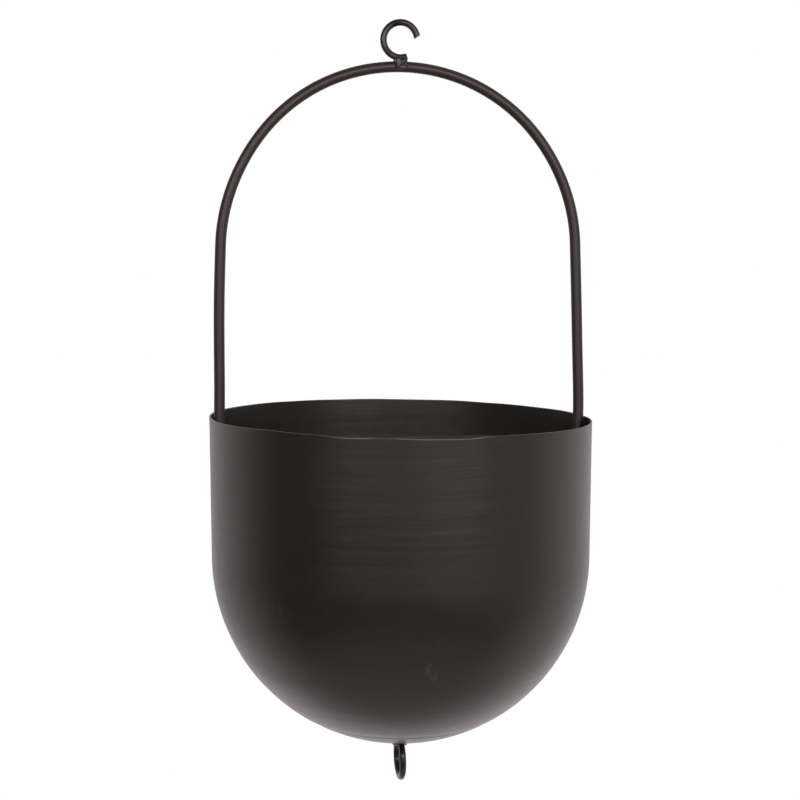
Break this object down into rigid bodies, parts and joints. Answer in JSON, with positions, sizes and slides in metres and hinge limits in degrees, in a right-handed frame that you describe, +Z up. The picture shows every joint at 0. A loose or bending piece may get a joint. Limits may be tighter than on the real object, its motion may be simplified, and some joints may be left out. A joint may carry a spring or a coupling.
{
  "type": "hanging plant holder",
  "caption": "Round-bottomed black spun-steel bowl welded to a tall bent-bar arch with an open wire hook on top and a wire ring below, hung up to hold a plant.",
  "frame": {"origin": "the seat inside the top of the hook, where what it hangs on bears", "axes": "+Z up, from the bottom ring to the hook; +X to the side that the hook is open on, in the plane of the arch; -Y is the front"},
  "size_m": [0.22, 0.22, 0.441],
  "materials": {
    "spun_bowl_paint": "matt warm black paint over spun steel with faint turning lines",
    "bar_paint": "matt warm black paint over smooth round bar and wire",
    "weld_paint": "matt warm black paint over rough weld"
  },
  "bodies": {
    "root": {"bowl": "spun_bowl_paint", "hanger_arch": "bar_paint", "top_hook": "bar_paint", "bottom_ring": "bar_paint", "hook_weld": "weld_paint", "ring_weld": "weld_paint", "left_leg_weld": "weld_paint", "right_leg_weld": "weld_paint"}
  },
  "joints": []
}
